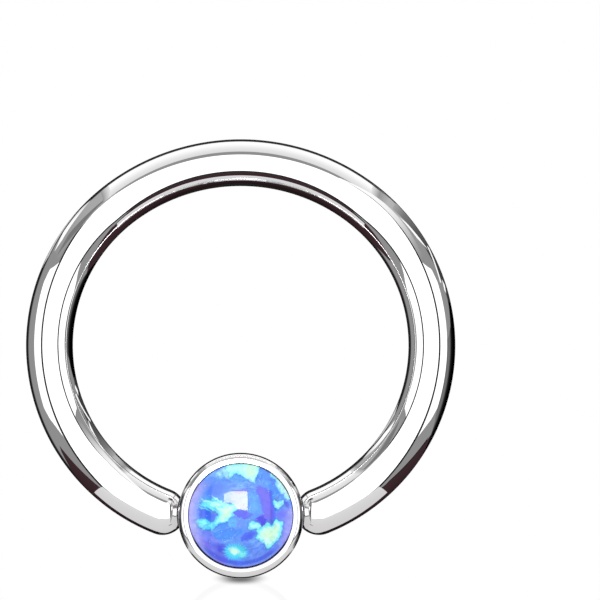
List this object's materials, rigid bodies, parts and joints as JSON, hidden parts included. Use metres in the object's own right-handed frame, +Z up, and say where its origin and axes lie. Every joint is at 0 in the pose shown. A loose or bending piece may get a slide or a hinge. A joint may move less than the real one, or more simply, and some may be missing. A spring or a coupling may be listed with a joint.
{
  "type": "captive bead ring with bezel-set opal bead",
  "caption": "Round steel wire hoop whose ball-nosed ends hold a cylindrical steel bead set with a domed blue opal; the bead turns between the ends.",
  "frame": {"origin": "middle of the whole part's underside, on the surface that it lies on", "axes": "+Z up from the surface, -Y towards the bead, X along the axis that the bead turns about"},
  "size_m": [0.015, 0.0152, 0.0029],
  "materials": {
    "wire_steel": "mirror-polished surgical steel",
    "cup_steel": "mirror-polished surgical steel",
    "opal": "polished blue opal with cyan and violet fire"
  },
  "bodies": {
    "hoop": {"hoop": "wire_steel"},
    "bead": {"bezel_cup": "cup_steel", "opal": "opal"}
  },
  "joints": [
    {"name": "bead_spin", "type": "hinge", "parent": "hoop", "child": "bead", "pos_m": [0, -0.00532, 0.0012], "axis": [1, 0, 0], "continuous": true}
  ]
}
